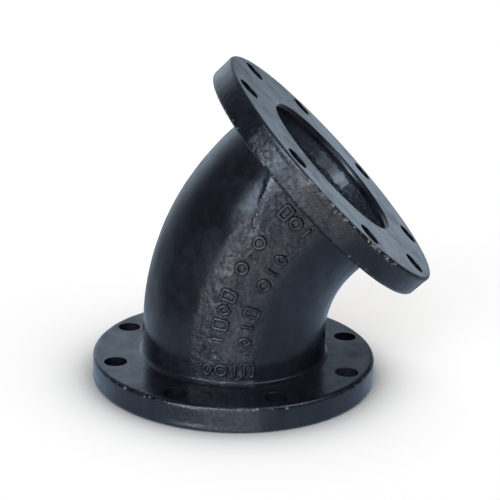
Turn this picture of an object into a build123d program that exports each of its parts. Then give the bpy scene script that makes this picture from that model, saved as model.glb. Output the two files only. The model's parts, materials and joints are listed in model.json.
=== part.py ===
from build123d import *
import math
import os

# A 6 inch cast-iron flanged bend, 45 degrees, lined with mortar.  Millimetres, +Z up.  The origin
# is the centre of the lower flange's face; the bend lies in the XZ plane and leans towards +X.

INCH = 25.4

# Bend
bend_angle = 45.0                       # degrees between the axes of the two flanges
bend_radius = 7.25 * INCH               # centreline of the turn
face_to_centre = 5.0 * INCH             # a flange's face to the point where the two axes cross
bore_radius = 6.0 * INCH / 2            # inside of the bare casting
body_wall = 0.55 * INCH
foot_fillet = 6.0                       # where the body runs into a flange's back

# Flanges
flange_radius = 11.0 * INCH / 2
flange_thickness = 1.0 * INCH
bolt_circle = 9.5 * INCH
bolt_count = 8
bolt_hole_radius = 0.875 * INCH / 2
back_edge_rounding = 4.0                # between a flange's back and its rim
face_edge_rounding = 2.5                # between a flange's face and its rim
mouth_rounding = 4.0                    # where the bore opens through a flange's face

# Mortar lining
lining_thickness = 3.2
lining_setback = 8.0                    # bare iron between a flange's face and the lining's end
lining_feather = 2.4                    # bevel trowelled on the lining's end

# Raised foundry marks: plain bars, frames, diamonds, rings and dots
mark_rise = 1.8
mark_stroke = 3.0
mark_height = 16.0
mark_width = 11.5
ring_radius = 6.5
dot_radius = 2.6
mark_gap = 0.7                          # least room between two marks of a long row
long_row_start = 37.0                   # from the lower flange's back
long_row_end = 48.0                     # from the upper flange's back
left_row_turn = 83.0                    # degrees round the body from the outside of the bend
right_row_turn = 99.0
neck_row_turn = 90.0
neck_row_setback = 20.0                 # from the upper flange's back to the middle of the marks
neck_row_pitch = 13.0
foot_row_turn = 90.0
foot_row_gap = 0.5                      # from the foot's fillet to the marks' lower ends
foot_row_pitch = 13.0
left_row = ("bar", "frame", "diamond", "frame", "gap", "ring", "dot", "ring")
right_row = ("diamond", "bar", "frame", "gap", "ring", "bar", "diamond")
neck_row = ("frame", "ring", "bar")
foot_row = ("diamond", "ring", "bar", "frame")
HOLLOW_MARKS = ("frame", "diamond", "ring")

# Worked out from the sizes above
body_radius = bore_radius + body_wall
lining_radius = bore_radius - lining_thickness
bolt_circle_radius = bolt_circle / 2
half_turn = math.radians(bend_angle / 2)
tangent = face_to_centre - bend_radius * math.tan(half_turn)   # straight from a face to the turn
neck_length = tangent - flange_thickness                       # straight from a back to the turn
arc_length = bend_radius * 2 * half_turn
body_length = 2 * neck_length + arc_length                     # centreline from back to back
nut_land = bolt_circle_radius - bolt_hole_radius - body_radius
foot_radius = min(foot_fillet, neck_length / 2, nut_land)
feather = min(lining_feather, lining_thickness)

lower_face = Plane.XY                                          # both face planes point inwards
bisector = Plane(
    origin=(0, 0, face_to_centre),
    z_dir=(math.sin(half_turn), 0, math.cos(half_turn)),
)
upper_face = Plane(
    origin=(
        face_to_centre * math.sin(2 * half_turn),
        0,
        face_to_centre * (1 + math.cos(2 * half_turn)),
    ),
    x_dir=(math.cos(2 * half_turn), 0, -math.sin(2 * half_turn)),
    z_dir=(-math.sin(2 * half_turn), 0, -math.cos(2 * half_turn)),
)
turn_start = lower_face.offset(tangent)
turn_axis = Axis((bend_radius, 0, tangent), (0, 1, 0))

os.makedirs("parts", exist_ok=True)


# Flanges: one drilled ring on each face plane

for name, face in (("lower_flange", lower_face), ("upper_flange", upper_face)):
    with BuildPart() as flange:
        with BuildSketch(face):
            Circle(flange_radius)
            Circle(bore_radius, mode=Mode.SUBTRACT)
            with PolarLocations(bolt_circle_radius, bolt_count, start_angle=180 / bolt_count):
                Circle(bolt_hole_radius, mode=Mode.SUBTRACT)
        extrude(amount=flange_thickness)
        inwards = Axis(face.origin, face.z_dir)
        circles = flange.edges().filter_by(GeomType.CIRCLE)
        rim_edges = circles.filter_by(lambda e: e.radius > bolt_circle_radius).sort_by(inwards)
        mouth_edges = circles.filter_by(lambda e: bolt_hole_radius < e.radius < bolt_circle_radius)
        fillet(rim_edges[-1], radius=back_edge_rounding)
        fillet(rim_edges[0], radius=face_edge_rounding)
        fillet(mouth_edges.sort_by(inwards)[0], radius=mouth_rounding)
    flange.part.label = name
    export_step(flange.part, f"parts/{name}.step")


# Body: a straight neck with a filleted foot on each flange, and the turn between them

with BuildPart() as bend_body:
    with BuildSketch(Plane.XZ):
        with BuildLine():
            foot_start = (body_radius + foot_radius, flange_thickness)
            foot_end = (body_radius, flange_thickness + foot_radius)
            Line((bore_radius, flange_thickness), foot_start)
            RadiusArc(foot_start, foot_end, foot_radius)
            Polyline(
                foot_end,
                (body_radius, tangent),
                (bore_radius, tangent),
                (bore_radius, flange_thickness),
            )
        make_face()
    revolve(axis=Axis.Z)
    mirror(about=bisector)
    with BuildSketch(turn_start):
        Circle(body_radius)
        Circle(bore_radius, mode=Mode.SUBTRACT)
    revolve(axis=turn_axis, revolution_arc=bend_angle)
bend_body.part.label = "bend_body"
export_step(bend_body.part, "parts/bend_body.step")


# Lining: stops short of each face, with a bevelled end

with BuildPart() as mortar_lining:
    with BuildSketch(Plane.XZ):
        with BuildLine():
            Polyline(
                (bore_radius, lining_setback),
                (lining_radius + feather, lining_setback),
                (lining_radius, lining_setback + feather),
                (lining_radius, tangent),
                (bore_radius, tangent),
                close=True,
            )
        make_face()
    revolve(axis=Axis.Z)
    mirror(about=bisector)
    with BuildSketch(turn_start):
        Circle(bore_radius)
        Circle(lining_radius, mode=Mode.SUBTRACT)
    revolve(axis=turn_axis, revolution_arc=bend_angle)
mortar_lining.part.label = "mortar_lining"
export_step(mortar_lining.part, "parts/mortar_lining.step")


# Foundry marks: each mark is a short prism, kept only between the body and a jacket round it

with BuildPart() as mark_jacket:
    with BuildSketch(lower_face.offset(flange_thickness)):
        Circle(body_radius + mark_rise)
        Circle(body_radius, mode=Mode.SUBTRACT)
    extrude(amount=neck_length)
    mirror(about=bisector)
    with BuildSketch(turn_start):
        Circle(body_radius + mark_rise)
        Circle(body_radius, mode=Mode.SUBTRACT)
    revolve(axis=turn_axis, revolution_arc=bend_angle)


def body_plane(along, turn, round_the_body):
    """Plane on the body's near side, with X along the row and Z out of the surface."""
    bend = min(max((along - neck_length) / arc_length, 0), 1) * 2 * half_turn
    straight = along - bend * bend_radius
    heading = Vector(math.sin(bend), 0, math.cos(bend))
    outside = Vector(-math.cos(bend), 0, math.sin(bend))
    turn_centre = Vector(bend_radius, 0, tangent)
    if along < neck_length:
        centre = Vector(0, 0, flange_thickness + along)
    else:
        centre = turn_centre + outside * bend_radius + heading * (straight - neck_length)
    angle = math.radians(turn)
    normal = outside * math.cos(angle) + Vector(0, -1, 0) * math.sin(angle)
    across = Vector(0, -1, 0) * math.cos(angle) - outside * math.sin(angle)
    x_dir = across if round_the_body else heading
    return Plane(origin=centre + normal * body_radius, x_dir=x_dir, z_dir=normal)


def raise_mark(kind, plane, size=1.0):
    """One prism through the body's surface; a gap is an empty place in a row."""
    if kind == "gap":
        return
    stroke, width, height = mark_stroke * size, mark_width * size, mark_height * size
    with BuildSketch(plane) as outline:
        if kind == "bar":
            Rectangle(stroke, height)
        elif kind == "dot":
            Circle(dot_radius * size)
        elif kind == "ring":
            Circle(ring_radius * size)
        elif kind == "frame":
            Rectangle(width, height)
        else:
            Polygon((width / 2, 0), (0, height / 2), (-width / 2, 0), (0, -height / 2))
        if kind in HOLLOW_MARKS:
            offset(amount=-stroke, mode=Mode.SUBTRACT)
    extrude(outline.sketch, amount=2 * mark_rise, both=True)


def long_row(marks, turn):
    """A row that follows the bend from the lower flange to the upper one."""
    pitch = (body_length - long_row_start - long_row_end) / len(marks)
    size = min(1, (pitch - mark_gap) / max(mark_width, 2 * ring_radius))
    for place, kind in enumerate(marks):
        along = long_row_start + (place + 0.5) * pitch
        raise_mark(kind, body_plane(along, turn, False), size)


def short_row(marks, along, middle_turn, pitch):
    """A row that runs round the body."""
    step = math.degrees(pitch / body_radius)
    for place, kind in enumerate(marks):
        turn = middle_turn + (place - (len(marks) - 1) / 2) * step
        raise_mark(kind, body_plane(along, turn, True))


with BuildPart() as body_marks:
    long_row(left_row, left_row_turn)
    long_row(right_row, right_row_turn)
    add(mark_jacket.part, mode=Mode.INTERSECT)
body_marks.part.label = "body_marks"
export_step(body_marks.part, "parts/body_marks.step")

with BuildPart() as neck_marks:
    short_row(neck_row, body_length - neck_row_setback, neck_row_turn, neck_row_pitch)
    add(mark_jacket.part, mode=Mode.INTERSECT)
neck_marks.part.label = "neck_marks"
export_step(neck_marks.part, "parts/neck_marks.step")

with BuildPart() as foot_marks:
    foot_row_setback = foot_radius + foot_row_gap + mark_height / 2
    short_row(foot_row, foot_row_setback, foot_row_turn, foot_row_pitch)
    add(mark_jacket.part, mode=Mode.INTERSECT)
foot_marks.part.label = "foot_marks"
export_step(foot_marks.part, "parts/foot_marks.step")
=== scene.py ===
import json
import math

import bpy
import numpy as np
from mathutils import Matrix, Vector


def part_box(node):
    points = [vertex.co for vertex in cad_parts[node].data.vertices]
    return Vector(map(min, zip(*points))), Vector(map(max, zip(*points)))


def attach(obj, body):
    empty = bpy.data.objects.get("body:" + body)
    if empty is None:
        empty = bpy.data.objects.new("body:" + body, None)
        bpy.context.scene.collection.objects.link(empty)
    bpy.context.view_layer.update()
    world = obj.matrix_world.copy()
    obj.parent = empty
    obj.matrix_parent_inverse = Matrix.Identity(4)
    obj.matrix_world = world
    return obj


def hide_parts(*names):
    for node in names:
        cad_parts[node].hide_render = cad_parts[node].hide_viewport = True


# A flanged 45 degree pipe bend: iron casting under glossy black bitumen, lined with mortar.
# Metres.  The lower flange's face lies on z = 0 and the bend leans towards +X.

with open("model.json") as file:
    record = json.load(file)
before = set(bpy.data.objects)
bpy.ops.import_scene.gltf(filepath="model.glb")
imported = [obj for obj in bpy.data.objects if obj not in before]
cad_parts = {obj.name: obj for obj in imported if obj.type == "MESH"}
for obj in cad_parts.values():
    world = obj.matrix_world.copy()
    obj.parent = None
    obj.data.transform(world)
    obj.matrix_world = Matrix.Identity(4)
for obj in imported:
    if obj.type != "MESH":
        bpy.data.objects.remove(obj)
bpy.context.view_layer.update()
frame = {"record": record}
MM = 0.001

# ---------------------------------------------------------------- sizes, read from the frame

mounts = {mount["name"]: mount for mount in frame["record"]["mounts"]}
top_centre = Vector(mounts["upper_flange_bolts"]["pos_m"])
top_outwards = Vector(mounts["upper_flange_bolts"]["axis"])
bolt_dims = mounts["upper_flange_bolts"]["dims"]
bore_mount = mounts["lower_bore"]

BEND_ANGLE = math.acos(top_outwards.z)
FACE_TO_CENTRE = top_centre.x / top_outwards.x
BOLT_CIRCLE_RADIUS = bolt_dims["pcd_mm"] * MM / 2
BOLT_COUNT = bolt_dims["count"]
BOLT_HOLE_RADIUS = bolt_dims["hole_r_mm"] * MM
FLANGE_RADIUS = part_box("lower_flange")[1].x
FLANGE_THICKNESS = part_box("lower_flange")[1].z
MARK_RISE = 1.8 * MM
BODY_RADIUS = -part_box("neck_marks")[0].y - MARK_RISE
FOOT_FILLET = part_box("bend_body")[1].y - BODY_RADIUS
BORE_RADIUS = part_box("mortar_lining")[1].y
LINING_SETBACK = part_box("mortar_lining")[0].z
LINING_RADIUS = bore_mount["dims"]["r_mm"] * MM
TANGENT = bore_mount["pos_m"][2] + bore_mount["dims"]["length_mm"] * MM / 2
TURN_RADIUS = (FACE_TO_CENTRE - TANGENT) / math.tan(BEND_ANGLE / 2)
ARC_LENGTH = TURN_RADIUS * BEND_ANGLE
PATH_LENGTH = 2 * TANGENT + ARC_LENGTH               # centreline from face to face
BACK_TO_BACK = PATH_LENGTH - 2 * FLANGE_THICKNESS

# Edges and cast surface
BACK_EDGE = 4 * MM
FACE_EDGE = 2.5 * MM
MOUTH_EDGE = 4 * MM
HOLE_EDGE = 0.5 * MM
DRAWN_FILLET = FOOT_FILLET * 0.65                    # tighter than the CAD's fillet
FOOT_LEDGE = 0.5 * MM                                # crisp step where the foot meets a flange
SEAM_HALF_WIDTH = 1.1 * MM
SEAM_RISE = 0.35 * MM
BODY_SWELL = 0.45 * MM
BODY_PEBBLE = 0.8 * MM
RIM_SWELL = 0.3 * MM
RIM_PEBBLE = 0.45 * MM
CRUST_TURN = 78                                      # middle of the flaked stretch, in degrees
BACK_CRUST = 0.8                                     # how much a back's edge has flaked, 0 to 1
LINING_BEVEL = 2.7 * MM
LINING_TAPER = 16 * MM
LINING_WRINKLE = 0.8 * MM

# Rough band of the casting under the marks: degrees round the body from the outside of the bend
BAND_LEFT = 69
BAND_RIGHT = 105

# Ragged lip that slants across the band: the climb, from 0 to 1, where it starts, its turn there
# in degrees round the body, and how many degrees it slants over a whole climb
LIP_START = 0.73
LIP_TURN = 77
LIP_SLANT = 83
LIP_RISE = 0.6 * MM

# Raised marks
MARK_STROKE = 3.0 * MM
MARK_HEIGHT = 16 * MM
MARK_WIDTH = 11.5 * MM
RING_RADIUS = 6.5 * MM
DOT_RADIUS = 2.6 * MM
LONG_ROW_START = 37 * MM                             # from the lower flange's back
LONG_ROW_END = 48 * MM                               # from the upper flange's back
LEFT_ROW_TURN = 83                                   # degrees round the body
RIGHT_ROW_TURN = 99
SHORT_ROW_TURN = 90
SHORT_PITCH = 13 * MM
NECK_ROW_SETBACK = 20 * MM
FOOT_ROW_SETBACK = FOOT_FILLET + 0.5 * MM + MARK_HEIGHT / 2
LEFT_ROW = ("bar", "frame", "diamond", "frame", "gap", "ring", "dot", "ring")
RIGHT_ROW = ("diamond", "bar", "frame", "gap", "ring", "bar", "diamond")
NECK_ROW = ("frame", "ring", "bar")
FOOT_ROW = ("diamond", "ring", "bar", "frame")
BEAD_SPACING = 0.7 * MM
BEAD_TAPER = 1.6 * MM
BEAD_WAVER = 0.35 * MM
BEAD_CORNER = 1.8 * MM
BEAD_ROUGHNESS = 0.25

# How finely each closed form is divided: columns round it, and rows along it
BODY_COLUMNS = 440
BODY_OUTER_ROWS = 172.0
BODY_INNER_ROWS = 30.0
LINING_COLUMNS = 360
LINING_OUTER_ROWS = 30.0
LINING_INNER_ROWS = 180.0
END_ROWS = 3.0
FLANGE_COLUMNS = 560
HOLE_SIDES = 48

# Colours
FRESH_TAR = (0.0060, 0.0055, 0.0080, 1)
DULL_TAR = (0.0115, 0.0108, 0.0140, 1)
FOUNDRY_DUST = (0.046, 0.044, 0.045, 1)
BARE_IRON = (0.36, 0.315, 0.28, 1)
SEAL_BLACK = (0.007, 0.007, 0.010, 1)
SEAL_GREY = (0.022, 0.023, 0.027, 1)


# ---------------------------------------------------------------- node trees as expressions

class Wire:
    """A node's output, in a shader or a geometry tree, that Python arithmetic can be written on."""

    def __init__(self, tree, socket=None):
        self.tree = tree
        self.socket = socket

    def node(self, kind, settings=None, inputs=None, output=0):
        """Adds any node: its settings first, then values or wires for its input sockets."""
        node = self.tree.nodes.new(kind)
        for name, value in (settings or {}).items():
            setattr(node, name, value)
        for key, value in (inputs or {}).items():
            for one in value if isinstance(value, list) else [value]:
                if isinstance(one, Wire):
                    self.tree.links.new(one.socket, node.inputs[key])
                else:
                    node.inputs[key].default_value = one
        return Wire(self.tree, node.outputs[output])

    def out(self, name):
        """Another output of the node that this wire comes from."""
        return Wire(self.tree, self.socket.node.outputs[name])

    def math(self, operation, *values):
        return self.node("ShaderNodeMath", {"operation": operation}, dict(enumerate(values)))

    def vector(self, operation, *values):
        return self.node("ShaderNodeVectorMath", {"operation": operation}, dict(enumerate(values)))

    def __add__(self, other):
        return self.math("ADD", self, other)

    def __sub__(self, other):
        return self.math("SUBTRACT", self, other)

    def __rsub__(self, other):
        return self.math("SUBTRACT", other, self)

    def __mul__(self, other):
        return self.math("MULTIPLY", self, other)

    def __truediv__(self, other):
        return self.math("DIVIDE", self, other)

    def __rtruediv__(self, other):
        return self.math("DIVIDE", other, self)

    def __pow__(self, other):
        return self.math("POWER", self, other)

    __radd__ = __add__
    __rmul__ = __mul__

    def clamp(self):
        return self.math("MAXIMUM", self.math("MINIMUM", self, 1.0), 0.0)

    def least(self, other):
        return self.math("MINIMUM", self, other)

    def most(self, other):
        return self.math("MAXIMUM", self, other)

    def abs(self):
        return self.math("ABSOLUTE", self)

    def sin(self):
        return self.math("SINE", self)

    def cos(self):
        return self.math("COSINE", self)

    def sqrt(self):
        return self.math("SQRT", self)

    def smooth(self, low, high):
        """0 below low, 1 above high, eased between them; the other way round if low is higher."""
        settings = {"interpolation_type": "SMOOTHSTEP"}
        if isinstance(low, (int, float)) and low > high:
            return 1 - self.smooth(high, low)
        return self.node("ShaderNodeMapRange", settings, {0: self, 1: low, 2: high})

    def noise(self, scale, detail=2.0, roughness=0.5, distortion=0.0):
        """Even noise round zero, about -1 to 1, at this position."""
        inputs = {"Vector": self, "Scale": scale, "Detail": detail, "Roughness": roughness}
        fac = self.node("ShaderNodeTexNoise", None, dict(inputs, Distortion=distortion))
        return (fac - 0.5) * 2

    def xyz(self):
        split = self.node("ShaderNodeSeparateXYZ", None, {0: self})
        return split, split.out("Y"), split.out("Z")

    def join_xyz(self, x, y, z):
        return self.node("ShaderNodeCombineXYZ", None, {0: x, 1: y, 2: z})

    def colour(self, first, second):
        """The first colour where this is 0, the second where it is 1."""
        settings, inputs = {"data_type": "RGBA"}, {0: self, 6: first, 7: second}
        return self.node("ShaderNodeMix", settings, inputs, output=2)

    def store(self, name, value):
        """This geometry with a value kept on each of its points."""
        settings = {"data_type": "FLOAT", "domain": "POINT"}
        inputs = {"Geometry": self, "Name": name, "Value": value}
        return self.node("GeometryNodeStoreNamedAttribute", settings, inputs)

    def placed(self, x, y, z):
        """This geometry with its points moved to x, y, z."""
        inputs = {"Geometry": self, "Position": self.join_xyz(x, y, z)}
        return self.node("GeometryNodeSetPosition", None, inputs)


def geometry_tree(name, inputs):
    """A geometry tree with named inputs.  Returns the tree and a dict of its input wires."""
    tree = bpy.data.node_groups.new(name, "GeometryNodeTree")
    tree.interface.new_socket("Geometry", in_out="OUTPUT", socket_type="NodeSocketGeometry")
    for label, kind in inputs.items():
        tree.interface.new_socket(label, in_out="INPUT", socket_type="NodeSocket" + kind)
    entry = tree.nodes.new("NodeGroupInput")
    return tree, {label: Wire(tree, entry.outputs[label]) for label in inputs}


def finish_tree(shape, material):
    """Ends a tree with Realize Instances and Set Material."""
    real = shape.node("GeometryNodeRealizeInstances", None, {"Geometry": shape})
    painted = shape.node(
        "GeometryNodeSetMaterial", None, {"Geometry": real, "Material": material}
    )
    shape.tree.links.new(
        painted.socket, shape.tree.nodes.new("NodeGroupOutput").inputs[0]
    )


def grown(name, tree, values, source=None, crease=35):
    """Runs a geometry tree with these inputs, and returns its result as a plain mesh object."""
    carrier = bpy.data.objects.new(name + "_carrier", source or bpy.data.meshes.new(name))
    bpy.context.scene.collection.objects.link(carrier)
    modifier = carrier.modifiers.new("grow", "NODES")
    modifier.node_group = tree
    for item in tree.interface.items_tree:
        if item.in_out == "INPUT" and item.name in values:
            modifier[item.identifier] = values[item.name]
    graph = bpy.context.evaluated_depsgraph_get()
    mesh = bpy.data.meshes.new_from_object(carrier.evaluated_get(graph), depsgraph=graph)
    bpy.data.objects.remove(carrier)
    mesh.name = name
    while mesh.materials[0] is None:
        mesh.materials.pop(index=0)
    mesh.shade_smooth()
    mesh.set_sharp_from_angle(angle=math.radians(crease))
    piece = bpy.data.objects.new(name, mesh)
    bpy.context.scene.collection.objects.link(piece)
    return piece


# ---------------------------------------------------------------- the bend's path

def on_the_bend(along, around, radius):
    """Wire for a point: along the centreline from the lower face, around the pipe from the outside
    of the bend towards the near side (-Y), and out from the centreline.  Returns x, y, z wires."""
    turn = ((along - TANGENT) / ARC_LENGTH).clamp() * BEND_ANGLE
    before = along.least(TANGENT)
    after = (along - (TANGENT + ARC_LENGTH)).most(0.0)
    sin_turn, cos_turn = turn.sin(), turn.cos()
    centre_x = (1 - cos_turn) * TURN_RADIUS + after * math.sin(BEND_ANGLE)
    centre_z = before + sin_turn * TURN_RADIUS + after * math.cos(BEND_ANGLE)
    outside, near = around.cos() * radius, around.sin() * radius
    return centre_x - outside * cos_turn, near * -1.0, centre_z + outside * sin_turn


# ---------------------------------------------------------------- pieces

def rough_band(skin, degrees):
    """1 on the rough band of the casting under the marks, 0 off it, wandering at its borders."""
    wander = skin.noise(38.0, 3.0, 0.65) * 5
    left_side = (degrees - BAND_LEFT + wander).smooth(-4.0, 5.0)
    return left_side * (BAND_RIGHT - degrees + wander).smooth(-5.0, 5.0)


def ragged_lip(skin, degrees, climb):
    """A step up that dies away towards the band's right.  Returns its height, 0 to 1, and how bare
    it is along its edge."""
    off_lip = degrees + (climb - LIP_START) * LIP_SLANT - LIP_TURN + skin.noise(120.0, 3.0, 0.7) * 3.0
    lip = off_lip.smooth(-2.6, 1.6) * off_lip.smooth(9.0, 1.0) * climb.smooth(0.70, 0.78)
    bare = (1 - (off_lip.abs() / 1.8).smooth(0.3, 1.0)) * climb.smooth(0.70, 0.76)
    return lip, bare


def bent_tube_tree():
    """A closed tube along the bend.  One grid is wrapped into a ring: its rows run along the
    outside, over the far end, back along the inside and over the near end."""
    tree, given = geometry_tree(
        "bent_tube",
        {
            "Start": "Float", "Length": "Float", "Outer Radius": "Float", "Inner Radius": "Float",
            "Columns": "Int", "Outer Rows": "Float", "Inner Rows": "Float", "End Rows": "Float",
            "Foot Fillet": "Float", "Foot Ledge": "Float", "End Bevel": "Float", "End Taper": "Float",
            "Outer Swell": "Float", "Outer Pebble": "Float", "Lip Rise": "Float",
            "Seam Rise": "Float", "Inner Wrinkle": "Float", "Material": "Material",
        },
    )
    start, length = given["Start"], given["Length"]
    outer_rows, inner_rows, end_rows = given["Outer Rows"], given["Inner Rows"], given["End Rows"]
    rows = outer_rows + inner_rows + end_rows * 2
    grid = start.node(
        "GeometryNodeMeshGrid", None,
        {"Size X": 1.0, "Size Y": 1.0, "Vertices X": given["Columns"] + 1, "Vertices Y": rows + 1},
    )
    flat_x, flat_y, _ = grid.node("GeometryNodeInputPosition").xyz()
    around = (flat_x + 0.5) * math.tau
    row = (flat_y + 0.5) * rows
    outward_leg = (row / outer_rows).clamp()
    over_far_end = ((row - outer_rows) / end_rows).clamp()
    inward_leg = ((row - outer_rows - end_rows) / inner_rows).clamp()
    over_near_end = ((row - outer_rows - end_rows - inner_rows) / end_rows).clamp()
    inwards = over_far_end - over_near_end            # 0 on the outside, 1 on the inside

    # rows crowd towards the ends, where the fillets are
    eased = outward_leg - (outward_leg * math.tau).sin() * (0.3 / math.tau)
    reach = (eased - inward_leg) * length             # distance from the tube's own start
    from_end = reach.least(length - reach)
    bevel = (from_end / given["End Taper"].most(1e-6)).smooth(1.0, 0.0) * given["End Bevel"]
    inner_radius = given["Inner Radius"] + bevel

    x, y, z = on_the_bend(start + reach, around, given["Outer Radius"])
    skin = x.join_xyz(x, y, z)
    degrees = around * (180 / math.pi)
    climb = (reach / length).clamp()
    rough = rough_band(skin, degrees)
    lip, bare = ragged_lip(skin, degrees, climb)

    fillet = given["Foot Fillet"]
    into_fillet = (1 - (from_end - given["Foot Ledge"]).most(0.0) / fillet.most(1e-6)).clamp()
    foot = fillet * (1 - (1 - into_fillet * into_fillet).most(0.0).sqrt())

    swell = skin.noise(24.0, 1.5) * given["Outer Swell"]
    pebble = skin.noise(190.0, 3.0, 0.6, 0.5) * given["Outer Pebble"] * (rough + 0.08)
    seam = (1 - (y.abs() / SEAM_HALF_WIDTH).smooth(0.0, 1.0)) * given["Seam Rise"]
    seam = seam * (skin.noise(90.0, 2.0) * 0.5 + 0.75)
    clear_of_ends = (from_end / fillet.most(1e-6)).clamp()
    cast = (swell + pebble + lip * given["Lip Rise"] + seam) * clear_of_ends
    outer_radius = given["Outer Radius"] + foot + cast

    wrinkle = skin.noise(95.0, 3.0, 0.6, 0.6) * 0.6 + skin.noise(260.0, 2.0) * 0.4
    inner_radius = inner_radius - (wrinkle + 0.25) * given["Inner Wrinkle"]
    radius = outer_radius * (1 - inwards) + inner_radius * inwards
    x, y, z = on_the_bend(start + reach, around, radius)
    flat = grid.store("rough", rough * (1 - inwards)).store("edge", bare * (1 - inwards))
    wrapped = flat.placed(x, y, z)
    closed = wrapped.node(
        "GeometryNodeMergeByDistance", None, {"Geometry": wrapped, "Distance": 0.01 * MM}
    )
    finish_tree(closed, given["Material"])
    return tree


def arc_points(centre_r, centre_h, radius, start, end, steps):
    """Points of a quarter turn in a section, from start to end degrees."""
    angles = np.radians(np.linspace(start, end, steps + 1))
    return [(centre_r + radius * math.cos(a), centre_h + radius * math.sin(a)) for a in angles]


def steps_between(low, high, spacing):
    """Values strictly between low and high, about spacing apart."""
    count = max(int(round(abs(high - low) / spacing)), 1)
    return [low + (high - low) * k / count for k in range(1, count)]


def flange_section():
    """Closed section of a flange: radius and height above its face."""
    rim, thick, bore = FLANGE_RADIUS, FLANGE_THICKNESS, BORE_RADIUS
    fine, plain = 1.4 * MM, 4 * MM
    section = arc_points(bore + MOUTH_EDGE, MOUTH_EDGE, MOUTH_EDGE, 180, 270, 6)
    section += [(r, 0.0) for r in steps_between(bore + MOUTH_EDGE, rim - FACE_EDGE, plain)]
    section += arc_points(rim - FACE_EDGE, FACE_EDGE, FACE_EDGE, 270, 360, 5)
    section += [(rim, h) for h in steps_between(FACE_EDGE, thick - BACK_EDGE, fine)]
    section += arc_points(rim - BACK_EDGE, thick - BACK_EDGE, BACK_EDGE, 0, 90, 6)
    section += [(r, thick) for r in steps_between(rim - BACK_EDGE, bore, 2 * MM)]
    section += [(bore, thick)]
    section += [(bore, h) for h in steps_between(thick, MOUTH_EDGE, plain)]
    return section


def spun_mesh(name, section, columns):
    """A closed section turned round Z into a mesh, its faces outwards."""
    turns = np.linspace(0, math.tau, columns, endpoint=False)
    points = [
        (r * math.cos(a), r * math.sin(a), h) for a in turns for r, h in section
    ]
    count = len(section)
    faces = [
        (i * count + j, (i + 1) % columns * count + j,
         (i + 1) % columns * count + (j + 1) % count, i * count + (j + 1) % count)
        for i in range(columns) for j in range(count)
    ]
    mesh = bpy.data.meshes.new(name)
    mesh.from_pydata(points, [], faces)
    return mesh


def bolt_hole_cutters(blank, given):
    """A drill and two countersinks, for the face and the back, on each place of the bolt circle."""
    thickness, hole, edge = given["Thickness"], given["Hole Radius"], given["Hole Edge"]
    circle = blank.node(
        "GeometryNodeMeshCircle", None,
        {"Vertices": given["Bolt Count"], "Radius": given["Bolt Circle Radius"]},
    )
    half_pitch = math.pi / given["Bolt Count"]
    circle = circle.node(
        "GeometryNodeTransform", None,
        {"Geometry": circle, "Rotation": blank.join_xyz(0.0, 0.0, half_pitch)},
    )
    drill = blank.node(
        "GeometryNodeMeshCylinder", None,
        {"Vertices": HOLE_SIDES, "Radius": hole, "Depth": thickness * 2},
    )
    cutters = [drill]
    for height, half_turn in ((0.0, 0.0), (thickness, math.pi)):
        cone = blank.node(
            "GeometryNodeMeshCone", None,
            {"Vertices": HOLE_SIDES, "Radius Top": hole, "Radius Bottom": hole + edge * 2,
             "Depth": edge * 2},
        )
        # lowered by half its height, the cone turns over about its own middle
        cone = cone.node(
            "GeometryNodeTransform", None,
            {"Geometry": cone, "Translation": blank.join_xyz(0.0, 0.0, edge * -1.0)},
        )
        cone = cone.node(
            "GeometryNodeTransform", None,
            {"Geometry": cone, "Translation": blank.join_xyz(0.0, 0.0, height),
             "Rotation": (half_turn, 0.0, 0.0)},
        )
        cutters.append(cone)
    return [
        circle.node("GeometryNodeInstanceOnPoints", None, {"Points": circle, "Instance": cutter})
        for cutter in cutters
    ]


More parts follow.
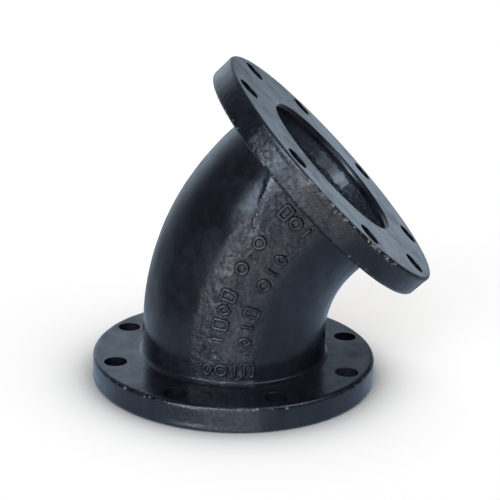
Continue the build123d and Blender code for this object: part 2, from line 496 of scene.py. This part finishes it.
def drilled_flange_tree():
    """Sinks a flange's rim and back a little, unevenly, as cast, and drills its bolt holes with
    eased edges."""
    tree, given = geometry_tree(
        "drilled_flange",
        {
            "Flange": "Geometry", "Thickness": "Float", "Rim Radius": "Float",
            "Bolt Circle Radius": "Float", "Bolt Count": "Int", "Hole Radius": "Float",
            "Hole Edge": "Float", "Swell": "Float", "Pebble": "Float", "Patch Turn": "Float",
            "Patch Width": "Float", "Face Crust": "Float", "Back Crust": "Float",
            "Crust Turn": "Float", "Seed Offset": "Float", "Material": "Material",
        },
    )
    blank, thickness = given["Flange"], given["Thickness"]
    place = blank.node("GeometryNodeInputPosition")
    x, y, z = place.xyz()
    where = place.vector("ADD", place, x.join_xyz(given["Seed Offset"], 0.0, 0.0))
    turned = y.math("ARCTAN2", y, x) - given["Patch Turn"]
    from_patch = turned.math("WRAP", turned, math.pi, -math.pi).abs()
    reach = (x * x + y * y).sqrt()
    on_rim = (reach - given["Rim Radius"] + 4 * MM).smooth(0.0, 3 * MM)
    as_cast = (z / thickness).smooth(0.12, 0.3) * (reach - BODY_RADIUS).smooth(4 * MM, 9 * MM)
    rough = (from_patch + where.noise(45.0, 3.0) * 0.16 - given["Patch Width"]).smooth(0.06, -0.06)
    rough = rough.most(0.2) * on_rim
    swell = where.noise(22.0, 2.0) * given["Swell"]
    pebble = where.noise(230.0, 2.5, 0.6, 0.3) * given["Pebble"] * (rough + 0.1)
    sunk = swell + pebble - given["Swell"] - given["Pebble"] * (rough + 0.1) * 0.6
    shift = blank.node(
        "ShaderNodeVectorMath", {"operation": "SCALE"},
        {0: blank.node("GeometryNodeInputNormal"), "Scale": sunk * as_cast},
    )
    cast = blank.node("GeometryNodeSetPosition", None, {"Geometry": blank, "Offset": shift})
    cast = cast.store("rough", rough * 0.5)

    # flaking crust: along a stretch of the face's edge, and all along the back's edge
    high = z / thickness
    from_crust = turned + given["Patch Turn"] - given["Crust Turn"]
    stretch = from_crust.math("WRAP", from_crust, math.pi, -math.pi).abs().smooth(0.75, 0.30)
    on_face_edge = high.smooth(0.40, 0.04) * stretch * given["Face Crust"]
    on_back_edge = high.smooth(0.74, 0.90) * high.smooth(1.02, 0.93) * given["Back Crust"]
    cast = cast.store("edge", on_rim * on_face_edge.most(on_back_edge))

    cutters = bolt_hole_cutters(blank, given)
    drilled = blank.node(
        "GeometryNodeMeshBoolean", {"operation": "DIFFERENCE", "solver": "MANIFOLD"},
        {"Mesh 1": cast, "Mesh 2": cutters},
    )
    finish_tree(drilled, given["Material"])
    return tree


def raised_marks_tree():
    """Sweeps a domed bead along flat strokes, then wraps them round the body."""
    tree, given = geometry_tree(
        "raised_marks",
        {
            "Strokes": "Geometry", "Bead": "Object", "Spacing": "Float", "Body Radius": "Float",
            "End Taper": "Float", "Waver": "Float", "Corner": "Float", "Roughness": "Float",
            "Material": "Material",
        },
    )
    strokes = given["Strokes"].node(
        "GeometryNodeFilletCurve", {"mode": "POLY"},
        {"Curve": given["Strokes"], "Count": 4, "Radius": given["Corner"], "Limit Radius": True},
    )
    strokes = strokes.node(
        "GeometryNodeResampleCurve", {"mode": "LENGTH"},
        {"Curve": strokes, "Length": given["Spacing"]},
    )
    bead = strokes.node("GeometryNodeObjectInfo", None, {"Object": given["Bead"]}, output="Geometry")
    param = strokes.node("GeometryNodeSplineParameter")
    length = strokes.node("GeometryNodeSplineLength")
    travelled = param.out("Length")
    to_end = travelled.least(length - travelled) / given["End Taper"]
    closed = strokes.node("GeometryNodeInputSplineCyclic")
    slimmed = (1 - (1 - to_end.clamp()) ** 2.0 * 0.55).most(closed)
    beads = strokes.node(
        "GeometryNodeCurveToMesh", None,
        {"Curve": strokes, "Profile Curve": bead, "Scale": slimmed, "Fill Caps": True},
    )
    place = beads.node("GeometryNodeInputPosition")
    along, side, rise = place.xyz()
    waver = place.noise(420.0, 2.0) * given["Waver"]
    x, y, z = on_the_bend(
        along + waver, side / given["Body Radius"], given["Body Radius"] + rise + waver
    )
    wrapped = beads.placed(x, y, z).store("rough", given["Roughness"])
    finish_tree(wrapped, given["Material"])
    return tree


def bead_section():
    """Closed section of a raised bead: a root sunk in the casting, sides that flare as they meet
    it, and a domed top.  Its height is laid downwards, as the sweep turns it over."""
    top = MARK_RISE
    side = [
        (2.4 * MM, -0.7 * MM), (2.1 * MM, 0.0), (1.75 * MM, 0.2 * top), (1.5 * MM, 0.5 * top),
        (1.28 * MM, 0.76 * top), (0.9 * MM, 0.92 * top), (0.45 * MM, 0.985 * top),
    ]
    other_side = [(-x, height) for x, height in reversed(side)]
    return [(x, -height) for x, height in side + [(0.0, top)] + other_side]


def curve_of(name, lines, closed):
    """A curve object of straight-sided lines, one for each list of points."""
    curve = bpy.data.curves.new(name, "CURVE")
    curve.dimensions = "3D"
    curve.twist_mode = "Z_UP"
    for points, loop in zip(lines, closed):
        spline = curve.splines.new("POLY")
        spline.points.add(len(points) - 1)
        for point, (x, y) in zip(spline.points, points):
            point.co = (x, y, 0.0, 1.0)
        spline.use_cyclic_u = loop
    return curve


def mark_outline(kind):
    """Centre line of one mark's stroke about its own middle, and whether it closes."""
    half_height = (MARK_HEIGHT - MARK_STROKE) / 2
    half_width = (MARK_WIDTH - MARK_STROKE) / 2
    if kind == "bar":
        return [(0, -half_height), (0, half_height)], False
    if kind == "dot":
        return [(0, -0.3 * DOT_RADIUS), (0, 0.3 * DOT_RADIUS)], False
    if kind == "ring":
        turns = np.linspace(0, math.tau, 32, endpoint=False)
        radius = RING_RADIUS - MARK_STROKE / 2
        return [(radius * math.cos(a), radius * math.sin(a)) for a in turns], True
    if kind == "frame":
        corners = ((1, 1), (-1, 1), (-1, -1), (1, -1))
    else:
        corners = ((1, 0), (0, 1), (-1, 0), (0, -1))
    return [(x * half_width, y * half_height) for x, y in corners], True


def row_strokes(kinds, places, round_the_body):
    """Flat strokes of a row: x along the centreline, y round the body."""
    lines, closed = [], []
    for kind, (along, side) in zip(kinds, places):
        if kind == "gap":
            continue
        points, loop = mark_outline(kind)
        if round_the_body:
            lines.append([(along + y, side + x) for x, y in points])
        else:
            lines.append([(along + x, side - y) for x, y in points])
        closed.append(loop)
    return lines, closed


def long_row(kinds, turn):
    pitch = (BACK_TO_BACK - LONG_ROW_START - LONG_ROW_END) / len(kinds)
    start = FLANGE_THICKNESS + LONG_ROW_START
    side = math.radians(turn) * BODY_RADIUS
    places = [(start + (k + 0.5) * pitch, side) for k in range(len(kinds))]
    return row_strokes(kinds, places, False)


def short_row(kinds, along):
    middle = math.radians(SHORT_ROW_TURN) * BODY_RADIUS
    places = [(along, middle + (k - (len(kinds) - 1) / 2) * SHORT_PITCH) for k in range(len(kinds))]
    return row_strokes(kinds, places, True)


# ---------------------------------------------------------------- finishes

def new_finish(name):
    finish = bpy.data.materials.new(name)
    finish.use_nodes = True
    finish.node_tree.nodes.clear()
    return finish, Wire(finish.node_tree)


def end_finish(shader):
    output = shader.tree.nodes.new("ShaderNodeOutputMaterial")
    shader.tree.links.new(shader.socket, output.inputs["Surface"])


def coated_iron():
    """As-cast iron under glossy black bitumen: orange peel, gritty where the casting is rough,
    clouded by patches of matt film, and bare where its edges have flaked."""
    finish, net = new_finish("bitumen_on_iron")
    place = net.node("ShaderNodeTexCoord", output="Object")
    rough = net.node("ShaderNodeAttribute", {"attribute_name": "rough"}, output="Fac")
    edge = net.node("ShaderNodeAttribute", {"attribute_name": "edge"}, output="Fac")
    streaks = place.vector("MULTIPLY", place, (1.0, 1.0, 0.25))

    drift = place.noise(14.0, 3.0, 0.6)
    blotch = place.noise(70.0, 4.0, 0.65)
    runs = streaks.noise(55.0, 3.0, 0.6, 0.4)
    speck = place.noise(520.0, 3.0, 0.7)
    scuff = (place.noise(160.0, 4.0, 0.75) + edge * 0.45).smooth(0.42, 0.70) * edge

    dull = (blotch * 0.6 + drift * 0.6).smooth(-0.25, 0.5)
    dust = (speck.smooth(0.1, 0.8) * rough).clamp()
    colour = dull.colour(FRESH_TAR, DULL_TAR)
    colour = (dust * 0.25).colour(colour, FOUNDRY_DUST)
    colour = (scuff * 0.8).colour(colour, BARE_IRON)
    roughness = 0.17 + dull * 0.12 + runs * 0.07 - rough * 0.05 + scuff * 0.25
    coat = (blotch * 0.7 + runs * 0.5 + 0.25).clamp()

    peel = place.noise(760.0, 2.0) * (0.012 * MM)
    ripple = place.noise(150.0, 2.0) * (0.05 * MM)
    warp = place.noise(38.0, 2.0) * (0.22 * MM)
    grit = place.noise(250.0, 4.0, 0.72, 0.6) * (1.0 * MM) * (rough + 0.02)
    bump = net.node(
        "ShaderNodeBump", None,
        {"Strength": 1.0, "Distance": 1.0, "Height": peel + ripple + warp + grit},
    )
    gloss = net.node(
        "ShaderNodeBsdfPrincipled", None,
        {
            "Base Color": colour, "Roughness": roughness.clamp(), "Normal": bump,
            "IOR": 1.5, "Coat Weight": coat, "Coat Roughness": 0.1, "Coat IOR": 1.5,
        },
    )
    matt = net.node(
        "ShaderNodeBsdfPrincipled", None,
        {"Base Color": colour, "Roughness": 0.6, "Normal": bump, "IOR": 1.3},
    )
    film = (blotch * 0.9 + drift * 0.7 + 0.15).clamp() * 0.8 * (1 - rough)
    end_finish(gloss.node("ShaderNodeMixShader", None, {0: film, 1: gloss, 2: matt}))
    return finish


def sealed_mortar():
    """Mortar lining under a wrinkled seal coat that sparkles where its ridges catch light."""
    finish, net = new_finish("seal_coat_on_mortar")
    place = net.node("ShaderNodeTexCoord", output="Object")
    crinkle = place.noise(380.0, 4.0, 0.7, 0.6)
    grain = place.noise(900.0, 2.0)
    blotch = place.noise(40.0, 3.0, 0.6)
    colour = blotch.smooth(-0.4, 0.8).colour(SEAL_BLACK, SEAL_GREY)
    height = crinkle * (0.8 * MM) + grain * (0.05 * MM)
    bump = net.node(
        "ShaderNodeBump", None,
        {"Strength": 1.0, "Distance": 1.0, "Height": height},
    )
    shader = net.node(
        "ShaderNodeBsdfPrincipled", None,
        {
            "Base Color": colour, "Roughness": (0.16 + blotch * 0.05).clamp(), "Normal": bump,
            "IOR": 1.5, "Coat Weight": 0.6, "Coat Roughness": 0.08,
        },
    )
    end_finish(shader)
    return finish


# ---------------------------------------------------------------- assembly

def outwards(piece):
    """Turns a closed mesh's faces out, if its signed volume says that they point in."""
    mesh = piece.data
    corners = np.empty(len(mesh.vertices) * 3)
    mesh.vertices.foreach_get("co", corners)
    corners = corners.reshape(-1, 3)
    mesh.calc_loop_triangles()
    triangles = np.empty(len(mesh.loop_triangles) * 3, dtype=np.int32)
    mesh.loop_triangles.foreach_get("vertices", triangles)
    a, b, c = (corners[triangles.reshape(-1, 3)[:, k]] for k in range(3))
    if np.einsum("ij,ij->i", a, np.cross(b, c)).sum() < 0:
        mesh.flip_normals()


def fit_in(piece, node):
    """The piece stands for a CAD node: its faces are turned out, it hangs on the root body, and the
    node is hidden.
    """
    outwards(piece)
    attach(piece, "root")
    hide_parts(node)


def cast_body(tube, iron):
    body = grown(
        "cast_body", tube,
        {
            "Start": FLANGE_THICKNESS, "Length": BACK_TO_BACK, "Outer Radius": BODY_RADIUS,
            "Inner Radius": BORE_RADIUS, "Columns": BODY_COLUMNS, "Outer Rows": BODY_OUTER_ROWS,
            "Inner Rows": BODY_INNER_ROWS, "End Rows": END_ROWS, "Foot Fillet": DRAWN_FILLET,
            "Foot Ledge": FOOT_LEDGE, "End Bevel": 0.0, "End Taper": 0.0,
            "Outer Swell": BODY_SWELL, "Outer Pebble": BODY_PEBBLE, "Lip Rise": LIP_RISE,
            "Seam Rise": SEAM_RISE, "Inner Wrinkle": 0.0, "Material": iron,
        },
    )
    fit_in(body, "bend_body")


def lining_shell(tube, mortar):
    lining = grown(
        "lining_shell", tube,
        {
            "Start": LINING_SETBACK, "Length": PATH_LENGTH - 2 * LINING_SETBACK,
            "Outer Radius": BORE_RADIUS, "Inner Radius": LINING_RADIUS,
            "Columns": LINING_COLUMNS, "Outer Rows": LINING_OUTER_ROWS,
            "Inner Rows": LINING_INNER_ROWS, "End Rows": END_ROWS, "Foot Fillet": 0.0,
            "Foot Ledge": 0.0, "End Bevel": LINING_BEVEL, "End Taper": LINING_TAPER,
            "Outer Swell": 0.0, "Outer Pebble": 0.0, "Lip Rise": 0.0, "Seam Rise": 0.0,
            "Inner Wrinkle": LINING_WRINKLE, "Material": mortar,
        },
    )
    fit_in(lining, "mortar_lining")


def cast_flanges(iron):
    """Both flanges are made face down on the floor, and the upper one is then stood in its place."""
    drilled = drilled_flange_tree()
    top_up = Vector((math.cos(BEND_ANGLE), 0, -math.sin(BEND_ANGLE)))
    top_frame = Matrix((top_up, Vector((0, -1, 0)), -top_outwards)).transposed().to_4x4()
    top_frame.translation = top_centre

    # node, where it stands, its rough patch's middle and half width in degrees, how much its
    # face's edge has flaked, and an offset that gives each flange its own noise
    for node, stand, patch_turn, patch_width, face_crust, seed in (
        ("lower_flange", Matrix.Identity(4), -88, 9, 0.3, 0.0),
        ("upper_flange", top_frame, 103, 24, 1.0, 3.7),
    ):
        flange = grown(
            "cast_" + node, drilled,
            {
                "Thickness": FLANGE_THICKNESS, "Rim Radius": FLANGE_RADIUS,
                "Bolt Circle Radius": BOLT_CIRCLE_RADIUS, "Bolt Count": BOLT_COUNT,
                "Hole Radius": BOLT_HOLE_RADIUS, "Hole Edge": HOLE_EDGE, "Swell": RIM_SWELL,
                "Pebble": RIM_PEBBLE, "Patch Turn": math.radians(patch_turn),
                "Patch Width": math.radians(patch_width), "Face Crust": face_crust,
                "Back Crust": BACK_CRUST, "Crust Turn": math.radians(CRUST_TURN),
                "Seed Offset": seed, "Material": iron,
            },
            source=spun_mesh(node + "_blank", flange_section(), FLANGE_COLUMNS),
        )
        flange.data.transform(stand)
        fit_in(flange, node)


def raised_rows(iron):
    marks = raised_marks_tree()
    bead = bpy.data.objects.new("bead", curve_of("bead", [bead_section()], [True]))
    for node, rows in (
        ("body_marks", [long_row(LEFT_ROW, LEFT_ROW_TURN), long_row(RIGHT_ROW, RIGHT_ROW_TURN)]),
        ("neck_marks", [short_row(NECK_ROW, PATH_LENGTH - FLANGE_THICKNESS - NECK_ROW_SETBACK)]),
        ("foot_marks", [short_row(FOOT_ROW, FLANGE_THICKNESS + FOOT_ROW_SETBACK)]),
    ):
        lines = [line for row in rows for line in row[0]]
        loops = [loop for row in rows for loop in row[1]]
        piece = grown(
            "raised_" + node, marks,
            {
                "Bead": bead, "Spacing": BEAD_SPACING, "Body Radius": BODY_RADIUS,
                "End Taper": BEAD_TAPER, "Waver": BEAD_WAVER, "Corner": BEAD_CORNER,
                "Roughness": BEAD_ROUGHNESS, "Material": iron,
            },
            source=curve_of(node + "_strokes", lines, loops),
        )
        fit_in(piece, node)


# ---------------------------------------------------------------- studio

def flat_sheet(name, half, height):
    mesh = bpy.data.meshes.new(name)
    mesh.from_pydata(
        [(-half, -half, 0), (half, -half, 0), (half, half, 0), (-half, half, 0)], [], [(0, 1, 2, 3)]
    )
    sheet = bpy.data.objects.new(name, mesh)
    sheet.location.z = height
    bpy.context.scene.collection.objects.link(sheet)
    return sheet


def studio_floor():
    """A pale floor that stays nearly white; a painted shadow darkens it close to the object.  It
    isn't
    reflected: a glowing card under it, brightest near the object, stands for it in the black finish."""
    floor = flat_sheet("floor", 6.0, -0.1 * MM)
    floor.visible_glossy = floor.visible_diffuse = floor.visible_shadow = False
    finish, net = new_finish("floor_paint")
    place = net.node("ShaderNodeTexCoord", output="Object")
    tone = place.noise(3.0, 2.0) * 0.004 + 1.0
    shades = {channel: tone * shade for channel, shade in enumerate(FLOOR_SHADE)}
    openness = net.node(
        "ShaderNodeAmbientOcclusion", {"samples": 16}, {"Distance": SHADE_REACH}, output="AO"
    )
    # painted shadow: the floor's glow is dimmed where nearby things close it in, by ambient occlusion
    glow = openness ** 3.0 * FLOOR_GLOW
    glows = {channel: glow * tint for channel, tint in enumerate(FLOOR_TINT)}
    shader = net.node(
        "ShaderNodeBsdfPrincipled", None,
        {
            "Base Color": net.node("ShaderNodeCombineColor", None, shades),
            "Roughness": 0.9, "Specular IOR Level": 0.0,
            "Emission Color": net.node("ShaderNodeCombineColor", None, glows),
            "Emission Strength": 1.0,
        },
    )
    end_finish(shader)
    floor.data.materials.append(finish)

    card = flat_sheet("bounce_card", 0.6, -0.2 * MM)
    card.visible_camera = card.visible_shadow = False
    finish, net = new_finish("card_glow")
    x, y, z = net.node("ShaderNodeTexCoord", output="Object").xyz()
    near = (x * x + (y + 0.05) * (y + 0.05)).sqrt().smooth(*CARD_FADE)
    glow = net.node("ShaderNodeCombineColor", None, {k: near * t for k, t in enumerate(BLUE)})
    light = net.node("ShaderNodeEmission", None, {"Color": glow, "Strength": CARD_GLOW})
    clear = net.node("ShaderNodeBsdfTransparent")
    end_finish(light.node("ShaderNodeAddShader", None, {0: light, 1: clear}))
    card.data.materials.append(finish)


def camera():
    """The view: a little right of square on and above, a long lens, with a slight roll."""
    azimuth, elevation, roll = math.radians(2.617), math.radians(17.902), math.radians(1.601)
    target, distance = Vector((0.0134, 0, 0.12906)), 1.2227
    back = Vector((
        math.sin(azimuth) * math.cos(elevation),
        -math.cos(azimuth) * math.cos(elevation),
        math.sin(elevation),
    ))
    right = Vector((math.cos(azimuth), math.sin(azimuth), 0))
    up = back.cross(right)
    x_axis = right * math.cos(roll) + up * math.sin(roll)
    y_axis = up * math.cos(roll) - right * math.sin(roll)
    lens = bpy.data.cameras.new("camera")
    lens.sensor_width, lens.lens = 36.0, 90.6
    lens.clip_end = 30.0
    view = bpy.data.objects.new("camera", lens)
    stand = Matrix((x_axis, y_axis, back)).transposed().to_4x4()
    stand.translation = target + back * distance
    view.matrix_world = stand
    bpy.context.scene.collection.objects.link(view)
    bpy.context.scene.camera = view


def studio_light():
    """The room, painted on the world: a dim cool room, a table a little brighter below the horizon,
    and soft boxes, each a direction, a spread, a strength and a tint."""
    world = bpy.data.worlds.new("studio")
    world.use_nodes = True
    world.node_tree.nodes.clear()
    net = Wire(world.node_tree)
    x, y, z = net.node("ShaderNodeTexCoord", output="Generated").xyz()
    table = z.smooth(-0.08, -0.30) * TABLE_GLOW
    sums = [table * tint + ROOM_GLOW * tint for tint in COOL]
    for azimuth, elevation, spread, strength, tint in SOFT_BOXES:
        a, e = math.radians(azimuth), math.radians(elevation)
        aim = (math.sin(a) * math.cos(e), -math.cos(a) * math.cos(e), math.sin(e))
        towards = x * aim[0] + y * aim[1] + z * aim[2]
        fall = (towards - 1) / (1 - math.cos(math.radians(spread)))
        lobe = fall.math("EXPONENT", fall)
        sums = [lobe * (strength * t) + total for t, total in zip(tint, sums)]
    colour = net.node("ShaderNodeCombineColor", None, dict(enumerate(sums)))
    light = net.node("ShaderNodeBackground", None, {"Color": colour, "Strength": 1.0})
    output = net.tree.nodes.new("ShaderNodeOutputWorld")
    net.tree.links.new(light.socket, output.inputs["Surface"])
    bpy.context.scene.world = world


COOL = (0.82, 1.0, 1.22)
BLUE = (0.70, 1.0, 1.45)
WARM = (0.99, 1.0, 1.05)
ROOM_GLOW = 0.06
TABLE_GLOW = 0.15
CARD_GLOW = 0.22
FLOOR_GLOW = 0.70
FLOOR_SHADE = (0.50, 0.43, 0.37)
FLOOR_TINT = (1.0, 0.98, 0.96)
SHADE_REACH = 0.11                                   # how near a thing must be to cast the floor's painted shadow
CARD_FADE = (0.42, 0.16)                             # where the card is dark and where it is bright

# azimuth from the camera's side towards +X, elevation, spread, strength, tint
SOFT_BOXES = (
    (-156, 18, 25, 0.95, COOL),                      # backdrop, behind and to the left
    (162, 0, 9, 0.62, COOL),                         # and behind to the right
    (-118, -12, 14, 0.20, COOL),                     # low on the left
    (-36, 24, 9, 12.0, COOL),                        # key, in front and to the left
    (-28, -5, 9, 8.0, WARM),                         # its lower half
    (-10, 34, 14, 9.0, COOL),                        # high in front
    (2, -24, 18, 1.3, WARM),                         # table in front
    (12, 6, 12, 2.0, COOL),                          # in front, beside the camera
    (65, 48, 16, 3.0, COOL),                         # high on the right
    (5, 75, 20, 0.5, COOL),                          # overhead
)

iron = coated_iron()
mortar = sealed_mortar()
tube = bent_tube_tree()
cast_body(tube, iron)
lining_shell(tube, mortar)
cast_flanges(iron)
raised_rows(iron)

studio_floor()
camera()
studio_light()
bpy.context.scene.view_settings.view_transform = "Standard"
